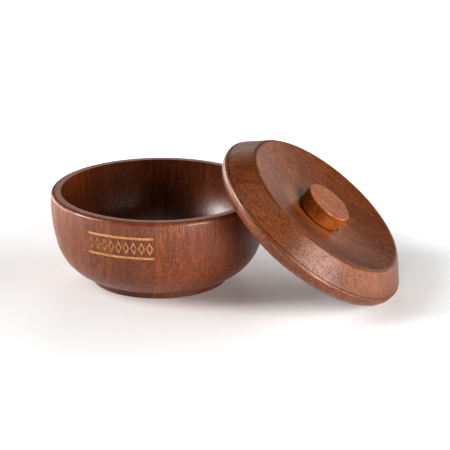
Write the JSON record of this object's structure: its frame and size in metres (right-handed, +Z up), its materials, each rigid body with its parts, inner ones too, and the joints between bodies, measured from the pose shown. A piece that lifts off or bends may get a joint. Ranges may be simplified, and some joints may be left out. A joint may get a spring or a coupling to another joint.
{
  "type": "shaving mug",
  "caption": "Low turned wooden shaving bowl with a thick wall and a foot, and a loose bevelled lid with a dished top and a round knob.",
  "frame": {"origin": "centre of the bowl's foot, on the table", "axes": "+Z up along the bowl's turning axis; +X from the bowl towards the leaning lid"},
  "size_m": [0.1789, 0.11, 0.074],
  "materials": {
    "bowl_wood": "red-brown stain under satin lacquer",
    "lid_wood": "red-brown stain under satin lacquer",
    "knob_wood": "red-brown stain under satin lacquer",
    "dowel_wood": "plain unfinished"
  },
  "bodies": {
    "bowl": {"board_left_side": "bowl_wood", "board_left": "bowl_wood", "board_middle": "bowl_wood", "board_right": "bowl_wood", "board_right_side": "bowl_wood"},
    "lid": {"lid_plate": "lid_wood", "lid_knob": "knob_wood", "knob_dowel": "dowel_wood"}
  },
  "joints": [
    {"name": "lid_lift", "type": "slide", "parent": "bowl", "child": "lid", "axis": [0.6239, 0, 0.7815], "range_m": [0, 0.08]}
  ]
}
